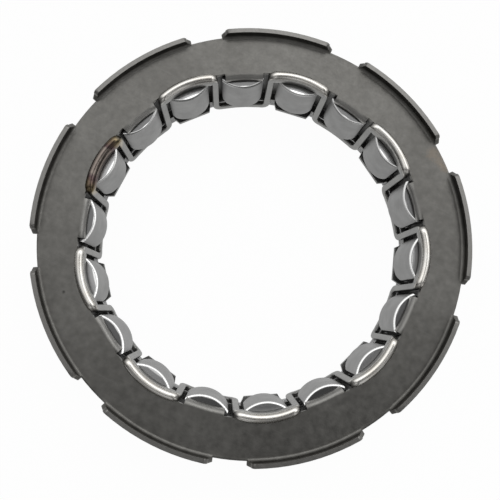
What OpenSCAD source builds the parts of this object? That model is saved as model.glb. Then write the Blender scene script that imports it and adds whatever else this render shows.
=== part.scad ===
// Starter clutch: a flanged one-way sprag insert, flange side up.
// The origin is on the clutch's axis at its base, and +Z points out of the flange side.
// One gap between two rim tabs points along +Y. Millimetres and degrees.

/* [Races] */
// Diameter of the inner race that the sprags run on
inner_race_d = 57.76; // [57:0.01:58.5]
// Radial space between the inner and the outer race, which is a sprag's height
race_gap = 8.33; // [8.2:0.01:8.5]

/* [Flange plate] */
// Diameter of the flange plate in the gaps between its tabs
flange_d = 77; // [76.8:0.1:79]
// Thickness of the flange plate's sheet
flange_t = 0.8; // [0.6:0.05:0.9]
// Distance that a tab's outer face stands outside the flange edge
tab_outset = 0.85; // [0.7:0.05:1.2]
// Height of the tabs above the flange
tab_h = 1.55; // [1.3:0.05:2.2]
// Inside bend radius of the tabs
tab_bend_r = 0.6; // [0.3:0.05:0.8]
// Width of the gap between two tabs, at the flange
tab_gap_w = 5.9; // [4:0.1:9]
// Slope of a tab's ends, as the width that each loses below its round corner
tab_slope = 0.7; // [0.4:0.05:0.9]
// Rounding of a tab's top corners
tab_corner_r = 0.9; // [0.5:0.05:1.1]
// Depth of the lips that are turned down over every second sprag
lip_depth = 1.1; // [1.0:0.05:1.2]
// Inside bend radius of the lips
lip_bend_r = 0.2; // [0.1:0.05:0.3]
// Arc that one lip covers
lip_angle = 13.2; // [12:0.1:14]

/* [Inner cage] */
// Height of the inner cage from its rear bars to the flange's top face
stack_h = 13.8; // [13.4:0.1:15.8]
// Radial clearance between the inner race and the inner cage
cage_clear = 1.42; // [1.2:0.01:1.45]
// Thickness of the inner cage's strip
cage_t = 1.05; // [0.9:0.01:1.1]
// Width of the legs between the sprags
leg_w = 1.3; // [1:0.05:1.5]
// Height of the rear bars
rear_bar_h = 1.5; // [1.2:0.05:1.8]
// Height of the crests above the flange's top face
crest_h = 0.9; // [0.7:0.05:1.3]
// Depth of the crests below the flange's top face
crest_web = 1.1; // [0.9:0.05:1.2]
// Bend radius of the crests in plan, at their inner face
crest_bend_r = 12; // [10.5:0.1:13]
// Distance that a crest's middle bulges outward past the cage's inner face
crest_bulge = 0.75; // [0.6:0.01:0.8]
// Thickness of the crests
crest_t = 1.25; // [1.15:0.05:1.4]
// Running gap between the crests and the flange's top face
crest_lift = 0.06; // [0.05:0.01:0.12]
// Outside radius of the bends between the legs and the crests
cage_corner_r = 1.3; // [0.8:0.05:1.5]
// Outside radius of the bends between the legs and the rear bars
bar_corner_r = 1.9; // [1.5:0.05:2]

/* [Outer cage] */
// Thickness of the outer cage's sheet
drum_t = 0.8; // [0.6:0.05:0.9]
// Clearance between a sprag's waist and the bars of the outer cage
waist_clear = 0.85; // [0.7:0.05:0.95]
// Height above the base of the outer cage's rear rim
rim_z = 1.3; // [1.1:0.05:1.65]
// Radial gap between the inner cage and the rear rim
rim_clear = 0.2; // [0.15:0.05:0.5]
// Width of the rear tabs behind every second sprag
rear_tab_w = 8; // [7:0.1:8.4]
// Radial clearance between the inner race and the rear tabs
rear_tab_clear = 0.7; // [0.5:0.05:0.9]
// Width that each end of a rear tab's edge loses to its slanting corner
rear_tab_cut = 0.65; // [0.4:0.05:0.9]
// Depth of those slanting corners
rear_tab_cut_depth = 1.2; // [0.8:0.05:1.4]

/* [Sprags] */
// Length of the sprags along the axis
sprag_len = 9; // [8.4:0.1:9.1]
// Width of a sprag's foot, on the inner race
foot_w = 7.8; // [7.2:0.1:8]
// Width of a sprag's head, on the outer race
head_w = 8.4; // [7.8:0.1:9]
// Width of a sprag's waist
waist_w = 4.6; // [4.2:0.1:4.8]
// Radius of the hollows on both sides of the waist
waist_r = 1.7; // [1.5:0.05:1.8]
// Height of the point that a sprag turns on, above the inner race
pivot_h = 4.62; // [4.5:0.01:4.7]
// Radius of the cam on the foot
foot_cam_r = 6; // [5.6:0.1:7]
// Radius of the cam on the head
head_cam_r = 6.6; // [6:0.1:7.5]
// Distance of each cam's centre from the sprag's middle line
cam_offset = 0.35; // [0.1:0.05:0.5]
// Distance of that middle line from the point that a sprag turns on, to the side its head leans away from
cam_shift = 0.6; // [0.4:0.05:0.8]
// Chamfer around a sprag's ground end faces
sprag_chamfer = 0.2; // [0.1:0.05:0.3]
// Rounding of the foot's corners at its rear end
foot_corner_r = 1.8; // [1:0.1:2.2]
// Lean of the sprags that the garter springs hold them at, in degrees
sprag_lean = 5; // [2:0.5:6]
// Gap between the sprags' ends and the lips
end_gap = 0.1; // [0.05:0.01:0.2]

/* [Garter springs] */
// Outside diameter of the garter springs' coils
coil_d = 1.3; // [1.0:0.05:1.4]
// Height of the coils' ring above the inner race
coil_h = 6.62; // [6.5:0.01:6.7]
// Clearance between a coil and the walls of the sprags' slots
coil_clear = 0.45; // [0.4:0.01:0.5]
// Distance of a coil's far side from the slot's mouth
coil_inset = 0.15; // [0.05:0.05:0.3]

/* [Hidden] */
$fn = 96;
past = 1;
// How far a cut's rounded corner runs out past the face that it meets
skim = 0.04;

steel = [0.47, 0.47, 0.44];
polished_steel = [0.75, 0.74, 0.70];
dark_steel = [0.30, 0.30, 0.29];
sprag_steel = [0.52, 0.52, 0.52];
spring_steel = [0.62, 0.60, 0.55];

// Every sector of the clutch holds one crested sprag and one lipped sprag
sectors = 9;
sector = 360 / sectors;
pitch = sector / 2;
crest_at = pitch / 2;
lip_at = crest_at + pitch;

race_r = inner_race_d / 2;
outer_race_r = race_r + race_gap;
flange_r = flange_d / 2;
tab_r = flange_r + tab_outset;
top_z = stack_h;

// Step that the tabs' bend leaves on the flange in the gaps between them
bend_step = 0.03;

cage_in_r = race_r + cage_clear;
cage_out_r = cage_in_r + cage_t;
relief_gap = 0.15;
relief_r = cage_out_r + relief_gap;
leg_half_angle = asin(leg_w / 2 / cage_in_r);
window_w = 2 * cage_in_r * sin(pitch / 2 - leg_half_angle);
crest_top_z = top_z + crest_h;
window_corner_r = 0.8;
leg_shoulder = 0.3;
// The crests' walls stand this far outside the legs' faces
cage_relief = 0.03;

pivot_r = race_r + pivot_h;
drum_in_r = pivot_r - drum_t / 2;
drum_out_r = pivot_r + drum_t / 2;
drum_bend_r = 0.5;
drum_window_w = waist_w + 2 * waist_clear;
sprag_top_z = top_z - max(lip_depth, crest_web) - end_gap;
sprag_base_z = sprag_top_z - sprag_len;
rail_gap = 0.2;
// The rear tabs are pressed this much thinner than the rim
tab_press = 0.04;
coil_r = race_r + coil_h;

// The inner cage follows the sprags' feet, so it leads by its share of their lean
cage_mid_r = (cage_in_r + cage_out_r) / 2;
cage_lead = sprag_lean * (pivot_r - cage_mid_r) / cage_mid_r;

// Points along an arc, for the round stretches of an outline
function arc(centre, r, from, to, steps = 4) = [
    for (i = [0 : steps])
        let (turn = from + (to - from) * i / steps)
            centre + r * [cos(turn), sin(turn)]
];

// The left half of an outline, from the points of its right half
function mirrored(right) = [
    for (i = [len(right) - 1 : -1 : 0]) [-right[i][0], right[i][1]]
];

// Extrudes an outline of (width, height) along +Y, from one radius to another
module radial_prism(from_r, to_r) {
    translate([0, to_r, 0])
        rotate([90, 0, 0])
            linear_extrude(to_r - from_r)
                children();
}

module ring_2d(from_r, to_r, from_z, to_z) {
    translate([from_r, from_z])
        square([to_r - from_r, to_z - from_z]);
}

// The flange plate's section, from a lip turned down on the left to a tab turned up on the right
module flange_section() {
    lip_bend = [cage_in_r + flange_t + lip_bend_r, top_z - flange_t - lip_bend_r];
    tab_bend = [tab_r - flange_t - tab_bend_r, top_z + tab_bend_r];
    polygon(concat(
        [[tab_r, top_z + tab_h], [tab_r - flange_t, top_z + tab_h]],
        arc(tab_bend, tab_bend_r, 0, -90),
        arc(lip_bend, lip_bend_r + flange_t, 90, 180),
        [[cage_in_r, top_z - lip_depth], [cage_in_r + flange_t, top_z - lip_depth]],
        arc(lip_bend, lip_bend_r, 180, 90),
        arc(tab_bend, tab_bend_r + flange_t, -90, 0)
    ));
}

// Outline of one gap between two tabs, with their sloping ends and round corners
module tab_gap_outline() {
    half = tab_gap_w / 2;
    tab_top_z = top_z + tab_h;
    right = concat(
        [[half, top_z - flange_t - past], [half, top_z]],
        arc([half + tab_slope + tab_corner_r, tab_top_z - tab_corner_r + skim], tab_corner_r, 180, 90, 3),
        [[half + tab_slope + tab_corner_r, tab_top_z + past]]
    );
    polygon(concat(right, mirrored(right)));
}

module flange_plate() color(steel) {
    relief_angle = sector - lip_angle;
    difference() {
        rotate_extrude()
            flange_section();
        for (k = [0 : sectors - 1])
            rotate(k * sector)
                difference() {
                    radial_prism(flange_r - 3 * tab_bend_r, tab_r + past)
                        tab_gap_outline();
                    translate([0, 0, top_z - 3 * past])
                        cylinder(h = 3 * past + bend_step, r = flange_r);
                }
        for (k = [0 : sectors - 1])
            rotate(90 + k * sector + crest_at - relief_angle / 2)
                rotate_extrude(angle = relief_angle)
                    ring_2d(cage_in_r - past, relief_r, top_z - lip_depth - past, top_z + past);
    }
}

// The inner cage's strip as a tube, up to the shoulders that the legs have under the crests
module cage_tube() {
    rotate_extrude()
        ring_2d(cage_in_r, cage_out_r, 0, top_z - leg_shoulder);
}

// Window for a lipped sprag: open towards the flange, over a rear bar
module front_window_outline() {
    half = window_w / 2;
    right = concat(
        arc([half - window_corner_r, rear_bar_h + window_corner_r], window_corner_r, -90, 0),
        arc([half + cage_corner_r, crest_top_z - cage_corner_r + skim], cage_corner_r, 180, 90),
        [[half + cage_corner_r, crest_top_z + past]]
    );
    polygon(concat(right, mirrored(right)));
}

// Window for a crested sprag: open towards the rear
module rear_window_outline() {
    half = window_w / 2;
    right = concat(
        [[half + bar_corner_r, -past]],
        arc([half + bar_corner_r, bar_corner_r], bar_corner_r, 270, 180),
        [[half, crest_top_z + past]]
    );
    polygon(concat(right, mirrored(right)));
}

// A crest bulges outward in plan, and its round top reaches over the flange
module crest() {
    centre_r = cage_in_r + crest_bulge - crest_bend_r;
    half_angle = 34;
    top_r = crest_t / 2;
    foot_z = top_z - crest_web;
    difference() {
        translate([0, centre_r, 0])
            rotate(90 - half_angle)
                rotate_extrude(angle = 2 * half_angle) {
                    ring_2d(crest_bend_r, crest_bend_r + crest_t, foot_z, crest_top_z - top_r);
                    translate([crest_bend_r + top_r, crest_top_z - top_r])
                        circle(top_r);
                }
        translate([0, 0, foot_z - past])
            cylinder(h = crest_web + crest_h + 2 * past, r = cage_in_r + cage_relief);
        difference() {
            translate([0, 0, foot_z - past])
                cylinder(h = crest_web + past + crest_lift, r = cage_out_r + 3 * past);
            translate([0, 0, foot_z - 2 * past])
                cylinder(h = crest_web + 4 * past, r = cage_out_r + cage_relief);
        }
    }
}

module inner_cage() color(polished_steel)
    rotate(cage_lead)
        difference() {
            union() {
                difference() {
                    cage_tube();
                    for (k = [0 : sectors - 1])
                        rotate(k * sector + crest_at)
                            radial_prism(cage_in_r - 2 * past, cage_out_r + past)
                                rear_window_outline();
                }
                for (k = [0 : sectors - 1])
                    rotate(k * sector + crest_at)
                        crest();
            }
            for (k = [0 : sectors - 1])
                rotate(k * sector + lip_at)
                    radial_prism(cage_in_r - 2 * past, cage_out_r + 2 * past)
                        front_window_outline();
        }

// Rear tab that reaches in behind a crested sprag
module rear_tab() {
    half = rear_tab_w / 2;
    edge_r = race_r + rear_tab_clear;
    root_r = (cage_out_r + rim_clear + drum_in_r) / 2;
    translate([0, 0, rim_z])
        linear_extrude(drum_t - tab_press)
            polygon([
                [-half, root_r], [-half, edge_r + rear_tab_cut_depth],
                [-half + rear_tab_cut, edge_r], [half - rear_tab_cut, edge_r],
                [half, edge_r + rear_tab_cut_depth], [half, root_r]
            ]);
}

module outer_cage() color(dark_steel)
    difference() {
        union() {
            rotate_extrude() {
                ring_2d(drum_in_r, drum_out_r, rim_z + drum_bend_r, top_z - flange_t);
                ring_2d(cage_out_r + rim_clear, drum_out_r - drum_bend_r, rim_z, rim_z + drum_t);
                translate([drum_out_r - drum_bend_r, rim_z + drum_bend_r])
                    circle(drum_bend_r);
            }
            for (k = [0 : sectors - 1])
                rotate(k * sector + crest_at)
                    rear_tab();
        }
        for (k = [0 : 2 * sectors - 1])
            rotate(k * pitch + crest_at)
                radial_prism(drum_in_r - past, drum_out_r + past)
                    translate([-drum_window_w / 2, sprag_base_z - rail_gap])
                        square([drum_window_w, top_z]);
    }

module garter_spring(ring_z) {
    rotate_extrude()
        translate([coil_r, ring_z])
            circle(coil_d / 2);
}

module front_garter_spring() color(spring_steel)
    garter_spring(sprag_top_z - coil_inset - coil_d / 2);

module rear_garter_spring() color(spring_steel)
    garter_spring(sprag_base_z + coil_inset + coil_d / 2);

// A roller of the cam's radius, with the sprag's chamfered ends
module cam_roller(cam_r) {
    rotate_extrude()
        polygon([
            [0, sprag_base_z], [cam_r - sprag_chamfer, sprag_base_z],
            [cam_r, sprag_base_z + sprag_chamfer], [cam_r, sprag_top_z - sprag_chamfer],
            [cam_r - sprag_chamfer, sprag_top_z], [0, sprag_top_z]
        ]);
}

// What the round corners at the foot's rear end leave out
module foot_corners_outline() {
    half = foot_w / 2;
    right = concat(
        [[half + past, sprag_base_z - past]],
        [[half - foot_corner_r, sprag_base_z - past]],
        arc([half - foot_corner_r, sprag_base_z + foot_corner_r], foot_corner_r, -90, 0),
        [[half + past, sprag_base_z + foot_corner_r]]
    );
    polygon(right);
    polygon(mirrored(right));
}

// A sprag's widths at its head and foot, with round corners at the foot's rear end
module sprag_block() {
    half_foot = foot_w / 2;
    half_head = head_w / 2;
    difference() {
        translate([0, 0, sprag_base_z])
            linear_extrude(sprag_len)
                polygon([
                    [-half_foot, race_r - past], [half_foot, race_r - past], [half_foot, pivot_r],
                    [half_head, pivot_r], [half_head, outer_race_r + past],
                    [-half_head, outer_race_r + past], [-half_head, pivot_r], [-half_foot, pivot_r]
                ]);
        radial_prism(race_r - 2 * past, pivot_r - waist_r)
            foot_corners_outline();
    }
}

module sprag_solid() {
    slot_w = coil_d + 2 * coil_clear;
    slot_depth = coil_d + 2 * coil_inset;
    difference() {
        intersection() {
            sprag_block();
            translate([cam_offset - cam_shift, race_r + foot_cam_r, 0])
                cam_roller(foot_cam_r);
            translate([-cam_offset - cam_shift, outer_race_r - head_cam_r, 0])
                cam_roller(head_cam_r);
        }
        for (side = [-1, 1])
            translate([side * (waist_w / 2 + waist_r), pivot_r, sprag_base_z - past])
                cylinder(h = sprag_len + 2 * past, r = waist_r);
        rotate_extrude() {
            ring_2d(coil_r - slot_w / 2, coil_r + slot_w / 2,
                sprag_top_z - slot_depth, sprag_top_z + past);
            ring_2d(coil_r - slot_w / 2, coil_r + slot_w / 2,
                sprag_base_z - past, sprag_base_z + slot_depth);
        }
    }
}

// Sprag number 1 is the first one counter-clockwise from +Y, seen from the flange side
module sprag(number) color(sprag_steel)
    rotate((number - 1) * pitch + crest_at)
        translate([0, pivot_r, 0])
            rotate(-sprag_lean)
                translate([0, -pivot_r, 0])
                    sprag_solid();

flange_plate();
inner_cage();
outer_cage();
front_garter_spring();
rear_garter_spring();
sprag(1);  // sprag_01
sprag(2);  // sprag_02
sprag(3);  // sprag_03
sprag(4);  // sprag_04
sprag(5);  // sprag_05
sprag(6);  // sprag_06
sprag(7);  // sprag_07
sprag(8);  // sprag_08
sprag(9);  // sprag_09
sprag(10);  // sprag_10
sprag(11);  // sprag_11
sprag(12);  // sprag_12
sprag(13);  // sprag_13
sprag(14);  // sprag_14
sprag(15);  // sprag_15
sprag(16);  // sprag_16
sprag(17);  // sprag_17
sprag(18);  // sprag_18
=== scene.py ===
"""Looks of the flanged sprag insert of a starter clutch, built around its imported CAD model."""

import math

import bpy
from mathutils import Matrix, Vector


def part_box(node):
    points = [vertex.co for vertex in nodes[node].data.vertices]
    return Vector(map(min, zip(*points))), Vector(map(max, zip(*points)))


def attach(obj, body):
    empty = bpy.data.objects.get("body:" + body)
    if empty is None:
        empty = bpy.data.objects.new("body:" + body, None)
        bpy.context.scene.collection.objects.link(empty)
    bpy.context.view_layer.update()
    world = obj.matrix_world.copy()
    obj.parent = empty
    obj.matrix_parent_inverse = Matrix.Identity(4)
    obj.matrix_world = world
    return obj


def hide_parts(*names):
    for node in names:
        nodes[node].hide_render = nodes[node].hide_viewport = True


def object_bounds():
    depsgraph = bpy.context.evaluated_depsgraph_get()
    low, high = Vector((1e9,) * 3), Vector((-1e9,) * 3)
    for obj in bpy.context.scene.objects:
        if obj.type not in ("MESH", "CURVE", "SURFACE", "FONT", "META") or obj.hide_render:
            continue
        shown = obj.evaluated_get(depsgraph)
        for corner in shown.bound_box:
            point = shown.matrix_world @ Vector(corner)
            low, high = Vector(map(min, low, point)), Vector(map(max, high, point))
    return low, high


MM = 0.001
UP = Vector((0, 0, 1))

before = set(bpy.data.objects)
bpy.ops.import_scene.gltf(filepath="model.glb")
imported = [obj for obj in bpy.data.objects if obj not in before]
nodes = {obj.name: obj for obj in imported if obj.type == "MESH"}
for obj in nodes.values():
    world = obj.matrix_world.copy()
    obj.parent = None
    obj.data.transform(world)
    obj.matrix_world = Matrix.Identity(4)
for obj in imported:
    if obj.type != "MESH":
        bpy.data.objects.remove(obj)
cad_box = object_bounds()

# Heights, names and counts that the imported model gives. The crests rise over the flange's top face
CREST_RISE = 0.9 * MM
FLANGE_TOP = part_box("inner_cage")[1].z - CREST_RISE
SPRAG_NODES = sorted(name for name in nodes if name.startswith("sprag_"))
SECTORS = len(SPRAG_NODES) // 2
PITCH = 360 / len(SPRAG_NODES)

# The camera's place over the flange's top face: how far the clutch is turned in the photograph, and how far
# and in what direction it is seen aslant
CLUTCH_TURN = math.radians(26.65)
SLANT = math.radians(-7.31)
SLANT_DIRECTION = math.radians(23.77)
CAMERA_STAND = Vector((0.87, -2.09, 90.13)) * MM
SENSOR_WIDTH = 36
LENS = 36
NEAREST_SEEN = 1 * MM
FARTHEST_SEEN = 20

# The inner cage's strip, in the sizes of its solid. At rest it is turned by its lead, in degrees
CAGE_LEAD = 0.4339
CAGE_INNER_R = 30.30 * MM
CAGE_THICK = 1.05 * MM
CAGE_MID_R = CAGE_INNER_R + CAGE_THICK / 2
LEG_WIDE = 1.3 * MM

# The strip's rear bars. A corner's power says how square its outer side is, and 2 is round
REAR_BAR_TALL = 1.5 * MM
REAR_BEND_R = 0.8 * MM
REAR_CORNER_POWER = 2.1

# The strip's crests, which bulge outward on a bend of their own
CREST_FOOT = FLANGE_TOP - 1.1 * MM
CREST_TOP = FLANGE_TOP + CREST_RISE
CREST_THICK = 1.8 * MM
CREST_BEND_R = 13 * MM
CREST_BULGE = 0.25 * MM
CREST_BEND_IN = 0.35 * MM
CREST_CORNER_POWER = 2.7

# Below its hook a crest stays inside this radius, and the hook lies this far over the flange
HOOK_R = 31.38 * MM
HOOK_LIFT = 0.06 * MM

# How finely the strip is rounded and swept
EDGE_ROUND = 0.3 * MM
CORNER_POINTS = 6
HOOK_POINTS = 2
BAR_STEPS = 4
LEG_STEPS = 4
BEND_STEPS = 8
CREST_STEPS = 12

# A crest's top is polished, but for this many points of its inner corner, and its sides have this share of
# its polish
DULL_CORNER_POINTS = 2
SIDE_POLISH = 0.25

# The strip's weld, on the crest at this angle, how far its heat tint reaches, and how deep its lumps are
WELD_ANGLE = 90
WELD_R = 31.5 * MM
WELD_Z = CREST_TOP - 0.2 * MM
HEAT_CORE_R = 2.4 * MM
HEAT_REACH_R = 6.4 * MM
WELD_LUMPS = 0.12 * MM

# The sprags' inner cams, each on a circle whose centre is a little off the sprag's middle, and how far in
# from a cam's edge wear has rounded it and tips its face toward the clutch's axis
CAM_R = 6 * MM
CAM_CENTRE_R = 34.9 * MM
CAM_TURN = math.radians(PITCH / 2 + 0.21)
WORN_EDGE = 0.4 * MM
WORN_FADE = 0.1 * MM
EDGE_TIPPED = 0.05 * MM
EDGE_SLOPE = -0.5

# How far out a sprag's end face keeps its mirror colour, in the open and under a lip of the flange, and how
# far it takes to turn to a darker tone beyond, partly an unground finish and partly painted shade and
# painted reflection
OPEN_BRIGHT_R = 29.45 * MM
LIPPED_BRIGHT_R = 29.25 * MM
DULL_AND_SHADE_FADE = 0.15 * MM

# The flange's rim tabs are painted lighter toward their tops, and its lips where they turn down: painted
# highlights
TAB_HIGHLIGHT_START_Z = FLANGE_TOP + 1.1 * MM
TAB_HIGHLIGHT_FULL_Z = FLANGE_TOP + 1.5 * MM
LIP_HIGHLIGHT_FULL_R = 30.6 * MM
LIP_HIGHLIGHT_END_R = 31.3 * MM
PLATE_EDGE_ROUND = 0.09 * MM

# The tone of a ground end face, the painted highlights on the flange's tab tops and lip bends, and how deep
# the grain of a satin surface and of the strip is
MIRROR = (0.9, 0.9, 0.89, 1)
TAB_TOP_HIGHLIGHT = (0.235, 0.23, 0.22, 1)
LIP_BEND_HIGHLIGHT = (0.36, 0.355, 0.34, 1)
GRAIN = 0.02 * MM
STRIP_GRAIN = 0.01 * MM

# The flange's tan stain, in three spots, and its dark speck: angle, radius, size, colour and strength
TAN = (0.28, 0.22, 0.16, 1)
SOOT = (0.03, 0.03, 0.03, 1)
STAINS = (
    (-37.5, 37.2 * MM, 1.5 * MM, TAN, 0.25),
    (-40.2, 37.7 * MM, 1.5 * MM, TAN, 0.25),
    (-42.6, 38.1 * MM, 1.3 * MM, TAN, 0.25),
    (132.6, 34.8 * MM, 0.45 * MM, SOOT, 0.8),
)

# The garter springs' turns
COIL_WIRE = 0.25 * MM
COIL_TURNS = 740
COIL_STEPS = 8
COIL_SIDES = 5

# The light tent's strengths toward the picture's top, its middle and its bottom edge
TENT_BRIGHT = 1.55
TENT_DIM = 0.18
TENT_FRONT = 0.9

# The softbox's place, size and power
SOFTBOX_UPWARD = 0.45
SOFTBOX_RIGHT = 0.1
SOFTBOX_HEIGHT = 0.6
SOFTBOX_SIZE = 0.16
SOFTBOX_POWER = 0.07

# The floor, and the ring of it where its glow is taken away: a painted soft shadow, in which the paper's
# traced shade also shows
FLOOR_SIZE = 6
FLOOR_GAP = 0.05 * MM
FLOOR_GLOW = 0.97
SHADOW_DEPTH = 0.9
SHADOW_START_R = 31.25 * MM
SHADOW_FULL_R = 31.35 * MM
SHADOW_FADE_R = 32.2 * MM
SHADOW_END_R = 37.0 * MM

# Points of a mesh that are closer than this are one
DOUBLES = 0.0005 * MM


def add_camera():
    """Adds the photograph's camera, and gives the directions of its picture's right and top."""
    turn = Matrix((
        (math.cos(CLUTCH_TURN), math.sin(CLUTCH_TURN), 0),
        (math.sin(CLUTCH_TURN), -math.cos(CLUTCH_TURN), 0),
        (0, 0, -1),
    ))
    slant = (
        Matrix.Rotation(SLANT_DIRECTION, 3, "Z")
        @ Matrix.Rotation(SLANT, 3, "X")
        @ Matrix.Rotation(-SLANT_DIRECTION, 3, "Z")
    )
    to_clutch = (slant @ turn).transposed()
    right = to_clutch @ Vector((1, 0, 0))
    up = to_clutch @ Vector((0, -1, 0))
    back = to_clutch @ Vector((0, 0, -1))
    place = Vector((0, 0, FLANGE_TOP)) - to_clutch @ CAMERA_STAND
    camera = bpy.data.objects.new("camera", bpy.data.cameras.new("camera"))
    bpy.context.scene.collection.objects.link(camera)
    camera.matrix_world = Matrix.Translation(place) @ Matrix((right, up, back)).transposed().to_4x4()
    camera.data.sensor_width = SENSOR_WIDTH
    camera.data.lens = LENS
    camera.data.clip_start = NEAREST_SEEN
    camera.data.clip_end = FARTHEST_SEEN
    bpy.context.scene.camera = camera
    return right, up


def blend(first, second, share):
    """What lies between two numbers or places, at a share of the way."""
    return first + (second - first) * share


def ease(share):
    """A share that starts and ends gently."""
    return share * share * (3 - 2 * share)


def outward_at(angle):
    """The direction away from the clutch's axis, at an angle in degrees around it from +Y."""
    turn = math.radians(angle)
    return Vector((-math.sin(turn), math.cos(turn), 0))


def around_from(outward):
    """The direction around the clutch's axis, square to an outward one."""
    return Vector((-outward.y, outward.x, 0))


class NodeTree:
    """A material's or the world's nodes, made and joined in short lines."""

    def __init__(self, tree):
        self.tree = tree
        tree.nodes.clear()

    def add(self, kind, settings=None, **inputs):
        """Adds a node. An input goes by its name, or by its number after an underscore."""
        node = self.tree.nodes.new("ShaderNode" + kind)
        for name, value in (settings or {}).items():
            setattr(node, name, value)
        for name, value in inputs.items():
            socket = node.inputs[int(name[1:])] if name[0] == "_" else node.inputs[name.replace("_", " ")]
            if isinstance(value, bpy.types.NodeSocket):
                self.tree.links.new(value, socket)
            else:
                socket.default_value = value
        return node

    def place(self):
        """A point's place in its piece, which is its place in the clutch at rest."""
        return self.add("TexCoord").outputs["Object"]

    def math(self, operation, first, second=0.0):
        return self.add("Math", {"operation": operation}, _0=first, _1=second).outputs[0]

    def vector_math(self, operation, first, second=(0, 0, 0)):
        """Gives a Vector for a sum or a product, and a Value for a length, a distance or a dot product."""
        return self.add("VectorMath", {"operation": operation}, _0=first, _1=second).outputs

    def from_axis(self, place):
        """The way from the clutch's axis to a place, square to the axis."""
        return self.vector_math("MULTIPLY", place, (1, 1, 0))["Vector"]

    def range(self, value, from_low, from_high, to_low, to_high):
        """Carries a value over from one range to another, and holds it at the ends."""
        return self.add("MapRange", _0=value, _1=from_low, _2=from_high, _3=to_low, _4=to_high).outputs[0]

    def ramp(self, value, *stops):
        node = self.add("ValToRGB", _0=value)
        marks = node.color_ramp.elements
        while len(marks) < len(stops):
            marks.new(0.5)
        for mark, (position, colour) in zip(marks, stops):
            mark.position = position
            mark.color = (*colour, 1)
        return node.outputs["Color"]

    def mix(self, factor, first, second, blend_type="MIX"):
        settings = {"data_type": "RGBA", "blend_type": blend_type}
        return self.add("Mix", settings, _0=factor, _6=first, _7=second).outputs[2]

    def noise(self, place, scale, detail, roughness):
        """Clouds, of which about as many as the scale lie along a metre."""
        node = self.add("TexNoise", Vector=place, Scale=scale, Detail=detail, Roughness=roughness)
        return node.outputs["Fac"]

    def bump(self, height, strength, depth, **under):
        return self.add("Bump", Strength=strength, Distance=depth, Height=height, **under).outputs[0]

    def metal(self, colour, gloss, normal):
        """Ends a material in the surface of bare metal."""
        shader = self.add("BsdfPrincipled", Metallic=1.0, Base_Color=colour, Roughness=gloss, Normal=normal)
        self.add("OutputMaterial", Surface=shader.outputs[0])


def new_material(name):
    """An empty material and its nodes."""
    material = bpy.data.materials.new(name)
    material.use_nodes = True
    return material, NodeTree(material.node_tree)


def grey(value):
    return (value, value, value, 1)


def satin_steel(name, dark, light, roughness, spread, grain, bump):
    """Tumbled steel: two tones in soft clouds, fine grain in its gloss, and a faint relief."""
    material, tree = new_material(name)
    place = tree.place()
    clouds = tree.noise(place, 90, 4, 0.6)
    speckle = tree.noise(place, grain, 5, 0.7)
    colour = tree.ramp(clouds, (0.32, dark), (0.68, light))
    colour = tree.mix(tree.range(speckle, 0.35, 0.65, 0, 0.35), colour, grey(0.5), "OVERLAY")
    gloss = tree.range(speckle, 0.3, 0.7, roughness - spread, roughness + spread)
    tree.metal(colour, gloss, tree.bump(speckle, bump, GRAIN))
    return material


def strip_material():
    """The strip: polished round crests, satin legs and bars, and the heat tint of its weld on one crest."""
    material, tree = new_material("polished_strip")
    place = tree.place()
    shine = tree.add("Attribute", {"attribute_name": "polish"}).outputs["Fac"]
    speckle = tree.noise(place, 3000, 4, 0.6)
    clouds = tree.noise(place, 260, 3, 0.5)
    satin = tree.ramp(clouds, (0.3, (0.20, 0.20, 0.195)), (0.7, (0.25, 0.25, 0.24)))
    bright = tree.ramp(clouds, (0.3, (0.66, 0.63, 0.58)), (0.7, (0.76, 0.75, 0.72)))
    polished = tree.range(shine, 0.2, 0.9, 0, 1)
    colour = tree.mix(polished, satin, bright)

    weld_place = outward_at(WELD_ANGLE + CAGE_LEAD) * WELD_R + UP * WELD_Z
    distance = tree.vector_math("DISTANCE", place, weld_place)["Value"]
    heat = tree.range(distance, HEAT_CORE_R, HEAT_REACH_R, 1, 0)
    ragged = tree.range(tree.noise(place, 420, 3, 0.6), 0.3, 0.7, -0.18, 0.18)
    tint = tree.ramp(
        tree.math("ADD", heat, ragged),
        (0.1, (0.34, 0.31, 0.25)),
        (0.3, (0.20, 0.16, 0.095)),
        (0.55, (0.11, 0.08, 0.06)),
        (0.75, (0.085, 0.058, 0.06)),
        (0.95, (0.20, 0.17, 0.15)),
    )
    heated = tree.range(heat, 0, 0.1, 0, 1)
    colour = tree.mix(heated, colour, tint)

    grain_gloss = tree.range(speckle, 0.3, 0.7, -0.03, 0.05)
    gloss = tree.math("ADD", tree.range(polished, 0, 1, 0.40, 0.25), grain_gloss)
    gloss = tree.math("ADD", gloss, tree.math("MULTIPLY", heated, -0.05))
    lumps = tree.math("MULTIPLY", tree.noise(place, 700, 2, 0.5), tree.range(heat, 0, 0.3, 0, 1))
    grain = tree.bump(speckle, 0.15, STRIP_GRAIN)
    tree.metal(colour, gloss, tree.bump(lumps, 0.5, WELD_LUMPS, Normal=grain))
    return material


def depth_in_cam(tree, place, away):
    """How far inside its cam's edge a place on any of the sprags is, with all sprags folded into one."""
    spot = tree.add("SeparateXYZ", Vector=place)
    turn = tree.math("ARCTAN2", tree.math("MULTIPLY", spot.outputs["X"], -1.0), spot.outputs["Y"])
    turn = tree.math("SUBTRACT", turn, CAM_TURN)
    half_pitch = math.radians(PITCH / 2)
    turn = tree.add("Math", {"operation": "WRAP"}, _0=turn, _1=half_pitch, _2=-half_pitch).outputs[0]
    folded = tree.add("CombineXYZ", X=tree.math("MULTIPLY", away, tree.math("SINE", turn)),
                      Y=tree.math("MULTIPLY", away, tree.math("COSINE", turn)))
    from_centre = tree.vector_math("DISTANCE", folded.outputs[0], (0, CAM_CENTRE_R, 0))["Value"]
    return tree.math("SUBTRACT", CAM_R, from_centre)


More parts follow.
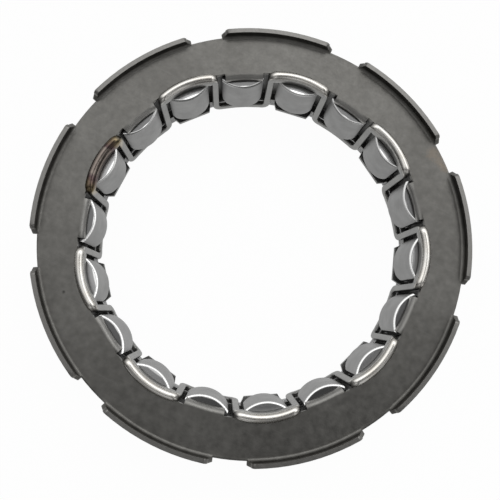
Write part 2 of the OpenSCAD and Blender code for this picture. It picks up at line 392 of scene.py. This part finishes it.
def rounded_edge(tree, facing, depth):
    """The directions that the edge of an end face is worn to, from along the clutch's axis to toward it."""
    position = tree.add("NewGeometry").outputs["Position"]
    spoke = tree.vector_math("NORMALIZE", tree.from_axis(position))["Vector"]
    slope = tree.range(depth, EDGE_TIPPED, WORN_EDGE, EDGE_SLOPE, 0)
    inward = tree.add("VectorMath", {"operation": "SCALE"}, _0=spoke, Scale=slope).outputs[0]
    end_up = tree.add("CombineXYZ", Z=tree.math("SIGN", facing)).outputs[0]
    return tree.vector_math("ADD", inward, end_up)["Vector"]


def sprag_material(name, bright_r, dull_and_shade_tone):
    """Matte cams and sides. Ground end faces shine like mirrors along the foot, out to a radius, then a
    painted darker tone.
    """
    material, tree = new_material(name)
    place = tree.place()
    facing = tree.add("SeparateXYZ", Vector=tree.add("NewGeometry").outputs["True Normal"]).outputs["Z"]
    ground = tree.range(tree.math("ABSOLUTE", facing), 0.6, 0.75, 0, 1)
    clouds = tree.noise(place, 330, 4, 0.6)
    speckle = tree.noise(place, 3500, 5, 0.7)
    matte = tree.ramp(clouds, (0.3, (0.200, 0.200, 0.197)), (0.7, (0.262, 0.262, 0.258)))
    matte = tree.mix(tree.range(speckle, 0.35, 0.65, 0, 0.35), matte, grey(0.5), "OVERLAY")

    away = tree.vector_math("LENGTH", tree.from_axis(place))["Value"]
    depth = depth_in_cam(tree, place, away)
    # Beyond the radius the end face is painted darker: partly an unground finish, partly painted shade and
    # painted reflection of the crest and the lip
    beyond = tree.range(away, bright_r, bright_r + DULL_AND_SHADE_FADE, 0, 1)
    inside = tree.range(depth, WORN_EDGE - WORN_FADE, WORN_EDGE, 0, 1)
    dull_and_shade = tree.math("MINIMUM", beyond, inside)
    colour = tree.mix(ground, matte, tree.mix(dull_and_shade, MIRROR, grey(dull_and_shade_tone)))
    gloss = tree.math("ADD", tree.range(ground, 0, 1, 0.44, 0.10), tree.math("MULTIPLY", dull_and_shade, 0.2))

    relief = tree.bump(speckle, 0.25, GRAIN)
    edge = tree.math("MULTIPLY", ground, tree.math("LESS_THAN", depth, WORN_EDGE))
    rounded = rounded_edge(tree, facing, depth)
    normal = tree.add("Mix", {"data_type": "VECTOR"}, _0=edge, _4=relief, _5=rounded).outputs[1]
    tree.metal(colour, gloss, tree.vector_math("NORMALIZE", normal)["Vector"])
    return material


def flange_material():
    """Tumbled satin steel: soft clouds, fine grain, hairline scratches, a tan stain, a dark speck, and
    painted highlights.
    """
    material, tree = new_material("flange_steel")
    place = tree.place()
    clouds = tree.noise(place, 70, 4, 0.6)
    patches = tree.noise(place, 650, 5, 0.65)
    speckle = tree.noise(place, 2600, 5, 0.7)
    colour = tree.ramp(clouds, (0.32, (0.116, 0.113, 0.106)), (0.68, (0.150, 0.147, 0.138)))
    colour = tree.mix(tree.range(patches, 0.35, 0.65, 0, 0.45), colour, grey(0.9), "OVERLAY")
    colour = tree.mix(tree.range(speckle, 0.35, 0.65, 0, 0.7), colour, grey(0.4), "OVERLAY")

    height = tree.add("SeparateXYZ", Vector=place).outputs["Z"]
    # The tab tops are painted lighter, a painted highlight
    tab_highlight = tree.range(height, TAB_HIGHLIGHT_START_Z, TAB_HIGHLIGHT_FULL_Z, 0, 0.8)
    colour = tree.mix(tab_highlight, colour, TAB_TOP_HIGHLIGHT)
    away = tree.vector_math("LENGTH", tree.from_axis(place))["Value"]
    # The lips' bends are painted lighter, a painted highlight
    lip_highlight = tree.range(away, LIP_HIGHLIGHT_FULL_R, LIP_HIGHLIGHT_END_R, 0.85, 0)
    colour = tree.mix(lip_highlight, colour, LIP_BEND_HIGHLIGHT)

    for turn, stretch, strength in ((0.4, 60, 0.05), (1.9, 75, 0.04)):
        lined = tree.add("Mapping", Vector=place, Rotation=(0, 0, turn), Scale=(30, 30 * stretch, 30))
        scratches = tree.noise(lined.outputs[0], 2.2, 2, 0.5)
        colour = tree.mix(tree.range(scratches, 0.66, 0.72, 0, strength), colour, grey(0.42))
    for angle, radius, size, tone, strength in STAINS:
        spot = outward_at(angle) * radius + UP * FLANGE_TOP
        distance = tree.vector_math("DISTANCE", place, spot)["Value"]
        ragged = tree.math("ADD", distance, tree.range(patches, 0.2, 0.8, -0.5 * size, 0.5 * size))
        colour = tree.mix(tree.range(ragged, 0.3 * size, size, strength, 0), colour, tone)

    grain_gloss = tree.range(speckle, 0.3, 0.7, -0.05, 0.05)
    gloss = tree.math("ADD", tree.range(patches, 0.3, 0.7, 0.40, 0.47), grain_gloss)
    tree.metal(colour, gloss, tree.bump(speckle, 0.3, GRAIN))
    return material


def weld(piece):
    """Joins a mesh's doubled points and turns all its faces outward."""
    bpy.ops.object.select_all(action="DESELECT")
    piece.select_set(True)
    bpy.context.view_layer.objects.active = piece
    bpy.ops.object.mode_set(mode="EDIT")
    bpy.ops.mesh.select_all(action="SELECT")
    bpy.ops.mesh.remove_doubles(threshold=DOUBLES)
    bpy.ops.mesh.normals_make_consistent(inside=False)
    bpy.ops.object.mode_set(mode="OBJECT")
    if piece.data.has_custom_normals:
        bpy.ops.mesh.customdata_custom_splitnormals_clear()


def smooth(sharp_from):
    """Shades the selected piece smooth, but for edges that turn by this angle in degrees or more."""
    bpy.ops.object.shade_smooth_by_angle(angle=math.radians(sharp_from))


def solid_copy(name, body):
    """A copy of a solid's mesh with its points joined, which takes the solid's place."""
    node = nodes[name]
    piece = bpy.data.objects.new(name + "_looks", node.data.copy())
    bpy.context.scene.collection.objects.link(piece)
    piece.matrix_world = node.matrix_world
    weld(piece)
    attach(piece, body)
    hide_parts(name)
    return piece


def round_edges(piece, width, sharp_from):
    """Rounds the edges that turn by an angle in degrees or more, and keeps the faces beside them flat."""
    modifier = piece.modifiers.new("bevel", "BEVEL")
    modifier.width = width
    modifier.segments = 2
    modifier.limit_method = "ANGLE"
    modifier.angle_limit = math.radians(sharp_from)
    bpy.context.view_layer.objects.active = piece
    bpy.ops.object.modifier_apply(modifier="bevel")
    smooth(sharp_from=35)
    piece.modifiers.new("flat_faces", "WEIGHTED_NORMAL").keep_sharp = True
    bpy.ops.object.modifier_apply(modifier="flat_faces")


def add_sprags(steel, lip_shaded_steel):
    """Smooth copies of the sprags. Every second one lies under a lip of the flange, and takes the steel
    with painted lip shade.
    """
    for number, name in enumerate(SPRAG_NODES):
        sprag = solid_copy(name, name)
        sprag.data.materials[0] = lip_shaded_steel if number % 2 == 1 else steel
        smooth(sharp_from=30)


def add_plate():
    """A copy of the flange plate with its edges rounded."""
    plate = solid_copy("flange_plate", "flanged_cage")
    round_edges(plate, PLATE_EDGE_ROUND, sharp_from=50)


def add_swept(name, places, sides, steps):
    """A tube through places, which go around one cross-section after another. Its seams are still open."""
    bpy.ops.object.select_all(action="DESELECT")
    bpy.ops.mesh.primitive_grid_add(x_subdivisions=sides, y_subdivisions=steps, size=1)
    piece = bpy.context.object
    piece.name = name
    piece.data.vertices.foreach_set("co", places)
    return piece


def corner_reach(first, second, share, power):
    """How far a bend's outer side is from its centre, going from the first width to the second."""
    turn = share * math.pi / 2
    return ((math.cos(turn) / first) ** power + (math.sin(turn) / second) ** power) ** (-1 / power)


def section_points(place, outward, side, low, high, thick, crest):
    """Points around a cross-section of the strip, from low to high along its side and thick along outward.

    As crest goes from 0 to 1, the section's top turns round and hooks over the flange.
    """
    half = thick / 2
    step = high - EDGE_ROUND
    under = half
    if crest > 0:
        step = blend(step, max(low + EDGE_ROUND, FLANGE_TOP + HOOK_LIFT - place.z), crest)
        away = place.xy.dot(outward.xy)
        reach = math.sqrt(away * away - place.xy.length_squared + HOOK_R ** 2) - away
        under = min(half, blend(half, reach, crest))
    top_round = blend(EDGE_ROUND, half, crest)
    corners = (
        (high - top_round, half - top_round, top_round, 0),
        (low + EDGE_ROUND, under - EDGE_ROUND, EDGE_ROUND, 90),
        (low + EDGE_ROUND, EDGE_ROUND - half, EDGE_ROUND, 180),
        (high - top_round, top_round - half, top_round, 270),
    )
    points = []
    for number, (up, out, size, start) in enumerate(corners):
        for k in range(CORNER_POINTS):
            turn = math.radians(start + 90 * k / (CORNER_POINTS - 1))
            points.append((up + size * math.cos(turn), out + size * math.sin(turn)))
        if number == 0:
            points.append((step, half))
            points.append((step, under))
    return [place + side * up + outward * out for up, out in points]


def half_sector():
    """Cross-sections from the middle of a rear bar, up a leg, to the middle of a crest."""
    leg_out = outward_at(-PITCH / 2)
    leg_along = around_from(leg_out)
    leg_mid = leg_out * CAGE_MID_R
    rings = []

    # Along the rear bar
    bar_end = math.degrees((LEG_WIDE / 2 + REAR_BEND_R) / CAGE_MID_R) + PITCH / 2
    for k in range(BAR_STEPS):
        outward = outward_at(blend(-PITCH, -bar_end, k / BAR_STEPS))
        rings.append((outward * CAGE_MID_R, outward, UP, 0, REAR_BAR_TALL, CAGE_THICK, 0))

    # Around the bend from the bar into the leg
    rear_pivot_z = REAR_BAR_TALL + REAR_BEND_R
    place = leg_mid - leg_along * (LEG_WIDE / 2 + REAR_BEND_R) + UP * rear_pivot_z
    for k in range(BEND_STEPS + 1):
        share = k / BEND_STEPS
        heading = share * math.pi / 2
        side = leg_along * -math.sin(heading) + UP * math.cos(heading)
        reach = corner_reach(rear_pivot_z, LEG_WIDE + REAR_BEND_R, share, REAR_CORNER_POWER)
        rings.append((place, leg_out, side, -reach, -REAR_BEND_R, CAGE_THICK, 0))

    # Up the leg
    crest_pivot_z = CREST_FOOT - CREST_BEND_IN
    for k in range(1, LEG_STEPS):
        place = leg_mid + UP * blend(rear_pivot_z, crest_pivot_z, k / LEG_STEPS)
        rings.append((place, leg_out, -leg_along, -LEG_WIDE / 2, LEG_WIDE / 2, CAGE_THICK, 0))

    # Around the bend from the leg into the crest, which eases onto the crest's own arc
    bend_place = leg_mid + leg_along * (LEG_WIDE / 2 + CREST_BEND_IN)
    arc_centre = CAGE_INNER_R + CREST_BULGE - CREST_BEND_R
    arc_r = CREST_BEND_R + CREST_THICK / 2
    arc_end = math.asin(bend_place.x / arc_r)
    arc_out = Vector((math.sin(arc_end), math.cos(arc_end), 0))
    arc_place = Vector((arc_r * math.sin(arc_end), arc_centre + arc_r * math.cos(arc_end), 0))
    for k in range(BEND_STEPS + 1):
        share = k / BEND_STEPS
        heading = (1 - share) * math.pi / 2
        crest = ease(share)
        outward = blend(leg_out, arc_out, crest).normalized()
        side = around_from(outward) * -math.sin(heading) + UP * math.cos(heading)
        place = blend(bend_place, arc_place, crest) + UP * crest_pivot_z
        reach = corner_reach(LEG_WIDE + CREST_BEND_IN, CREST_TOP - crest_pivot_z, share, CREST_CORNER_POWER)
        thick = blend(CAGE_THICK, CREST_THICK, crest)
        rings.append((place, outward, side, CREST_BEND_IN, reach, thick, crest))

    # Along the crest
    for k in range(1, CREST_STEPS + 1):
        turn = blend(arc_end, 0, k / CREST_STEPS)
        outward = Vector((math.sin(turn), math.cos(turn), 0))
        place = outward * arc_r + Vector((0, arc_centre, CREST_FOOT))
        rings.append((place, outward, UP, 0, CREST_TOP - CREST_FOOT, CREST_THICK, 1))
    return rings


def add_strip(steel):
    """The inner cage: one closed strip that meanders around the clutch, with its polish in an attribute."""
    rings = [(section_points(*ring), ring[-1]) for ring in half_sector()]
    flip = Vector((-1, 1, 1))
    far_half = [([point * flip for point in points], crest) for points, crest in reversed(rings[1:-1])]
    sector = rings + far_half
    steps = SECTORS * len(sector)
    sides = len(sector[0][0])
    hook_end = CORNER_POINTS + HOOK_POINTS
    top_start = sides - CORNER_POINTS + DULL_CORNER_POINTS
    places = []
    polish = []
    for number in range(steps + 1):
        points, crest = sector[number % len(sector)]
        crest_angle = PITCH / 2 + number // len(sector) * 2 * PITCH + CAGE_LEAD
        turn = Matrix.Rotation(math.radians(crest_angle), 3, "Z")
        for k in range(sides + 1):
            side = k % sides
            places.extend(turn @ points[side])
            on_top = side < hook_end or side >= top_start
            polish.append(crest if on_top else crest * SIDE_POLISH)
    strip = add_swept("inner_cage_strip", places, sides, steps)
    shine = strip.data.attributes.new("polish", "FLOAT", "POINT")
    shine.data.foreach_set("value", polish)
    weld(strip)
    smooth(sharp_from=50)
    strip.data.materials.append(steel)
    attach(strip, "inner_cage")
    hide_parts("inner_cage")


def add_coil(name, steel):
    """A garter spring's turns, wound inside the plain ring of its solid."""
    low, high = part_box(name)
    ring_r = (high.x - low.x) / 2 - (high.z - low.z) / 2
    wind_r = (high.z - low.z) / 2 - COIL_WIRE / 2
    middle = (low + high) / 2
    steps = COIL_TURNS * COIL_STEPS
    places = []
    for k in range(steps + 1):
        outward = outward_at(360 * k / steps)
        along = around_from(outward)
        wind = 2 * math.pi * (k % COIL_STEPS) / COIL_STEPS
        spoke = outward * math.cos(wind) + UP * math.sin(wind)
        centre = middle + outward * ring_r + spoke * wind_r
        for number in range(COIL_SIDES + 1):
            turn = 2 * math.pi * (number % COIL_SIDES) / COIL_SIDES
            places.extend(centre + (spoke * math.cos(turn) + along * math.sin(turn)) * COIL_WIRE / 2)
    coil = add_swept(name + "_turns", places, COIL_SIDES, steps)
    weld(coil)
    smooth(sharp_from=80)
    coil.data.materials.append(steel)
    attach(coil, "flanged_cage")
    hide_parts(name)


def set_world(right, up):
    """A light tent: bright toward the picture's top and right, dim toward its bottom, white to the camera.

    A dark panel and a bright edge stand on its right, below the picture's top, and its walls are dimmer
    than its roof. Places in it are cosines, from the picture's top, from its right and from overhead.
    """
    world = bpy.data.worlds.new("studio")
    bpy.context.scene.world = world
    world.use_nodes = True
    tree = NodeTree(world.node_tree)
    direction = tree.add("TexCoord").outputs["Generated"]
    height = tree.vector_math("DOT_PRODUCT", direction, up)["Value"]
    sideways = tree.vector_math("DOT_PRODUCT", direction, right)["Value"]
    overhead = tree.add("SeparateXYZ", Vector=direction).outputs["Z"]

    upper = tree.range(height, -0.15, 0.48, TENT_DIM, TENT_BRIGHT)
    front = tree.range(height, -0.6, -0.3, TENT_FRONT, 0)
    tone = tree.math("MAXIMUM", upper, front)
    tone = tree.math("MULTIPLY", tone, tree.range(sideways, -0.5, 0.5, 0.95, 1.45))

    panel_start = tree.range(sideways, 0.0, 0.1, 0, 1)
    panel_end = tree.range(sideways, 0.42, 0.5, 0.75, -0.5)
    panel = tree.math("MULTIPLY", panel_start, panel_end)
    panel = tree.math("MULTIPLY", panel, tree.range(height, 0.3, 0.45, 1, 0))
    tone = tree.math("MULTIPLY", tone, tree.math("SUBTRACT", 1.0, panel))
    tone = tree.math("MULTIPLY", tone, tree.range(overhead, 0.5, 0.8, 0.3, 1.0))

    lit = tree.add("Background", Color=grey(1), Strength=tone)
    white = tree.add("Background", Color=grey(1), Strength=1.0)
    seen = tree.add("LightPath").outputs["Is Camera Ray"]
    both = tree.add("MixShader", _0=seen, _1=lit.outputs[0], _2=white.outputs[0])
    tree.add("OutputWorld", Surface=both.outputs[0])


def add_floor():
    """White paper under the clutch, which glows to the camera and in mirrors, but for a ring of painted
    soft shadow.
    """
    bpy.ops.object.select_all(action="DESELECT")
    bpy.ops.mesh.primitive_plane_add(size=FLOOR_SIZE, location=(0, 0, cad_box[0][2] - FLOOR_GAP))
    floor = bpy.context.object
    floor.name = "floor"
    material, tree = new_material("floor_white")
    paper = tree.add("BsdfDiffuse", Color=grey(0.9))
    glow = tree.add("Emission", Color=grey(1), Strength=1.0)
    away = tree.vector_math("LENGTH", tree.place())["Value"]
    # A ring under the clutch loses its glow, a painted shadow that fades outward, where the paper's traced
    # shade shows
    shadow_start = tree.range(away, SHADOW_START_R, SHADOW_FULL_R, 0, SHADOW_DEPTH)
    shadow_fade = tree.range(away, SHADOW_FADE_R, SHADOW_END_R, 1, 0)
    shadow = tree.math("MULTIPLY", shadow_start, shadow_fade)
    seen = tree.add("LightPath")
    share = tree.math("MAXIMUM", seen.outputs["Is Camera Ray"], seen.outputs["Is Glossy Ray"])
    share = tree.math("MULTIPLY", share, tree.math("SUBTRACT", FLOOR_GLOW, shadow))
    both = tree.add("MixShader", _0=share, _1=paper.outputs[0], _2=glow.outputs[0])
    tree.add("OutputMaterial", Surface=both.outputs[0])
    floor.data.materials.append(material)


def add_softbox(right, up):
    """A square lamp over the top of the picture, which faces the clutch."""
    light = bpy.data.lights.new("softbox", "AREA")
    light.shape = "SQUARE"
    light.size = SOFTBOX_SIZE
    light.energy = SOFTBOX_POWER
    lamp = bpy.data.objects.new("softbox", light)
    bpy.context.scene.collection.objects.link(lamp)
    lamp.location = up * SOFTBOX_UPWARD + right * SOFTBOX_RIGHT + UP * SOFTBOX_HEIGHT
    lamp.rotation_euler = (-lamp.location).to_track_quat("-Z", "Y").to_euler()


image_right, image_up = add_camera()

flange_steel = flange_material()
strip_steel = strip_material()
sprag_steel = sprag_material("sprag_steel", OPEN_BRIGHT_R, dull_and_shade_tone=0.36)
# The sprags under the lips get a darker end tone and a smaller mirror radius, which are painted shade from
# the lip
lip_shaded_steel = sprag_material("sprag_steel_lip_shaded", LIPPED_BRIGHT_R, dull_and_shade_tone=0.14)
cage_steel = satin_steel("cage_steel", dark=(0.16, 0.16, 0.155), light=(0.22, 0.22, 0.215),
                         roughness=0.45, spread=0.06, grain=2600, bump=0.3)
spring_steel = satin_steel("spring_steel", dark=(0.25, 0.245, 0.23), light=(0.32, 0.31, 0.29),
                           roughness=0.3, spread=0.05, grain=3000, bump=0.1)

FINISHES = {
    "flange_plate": flange_steel,
    "inner_cage": strip_steel,
    "outer_cage": cage_steel,
    "front_garter_spring": spring_steel,
    "rear_garter_spring": spring_steel,
}
for name, node in nodes.items():
    node.data.materials.clear()
    node.data.materials.append(FINISHES.get(name, sprag_steel))

add_strip(strip_steel)
add_sprags(sprag_steel, lip_shaded_steel)
add_plate()
add_coil("front_garter_spring", spring_steel)
add_coil("rear_garter_spring", spring_steel)

set_world(image_right, image_up)
add_floor()
add_softbox(image_right, image_up)

bpy.context.scene.view_settings.view_transform = "Standard"
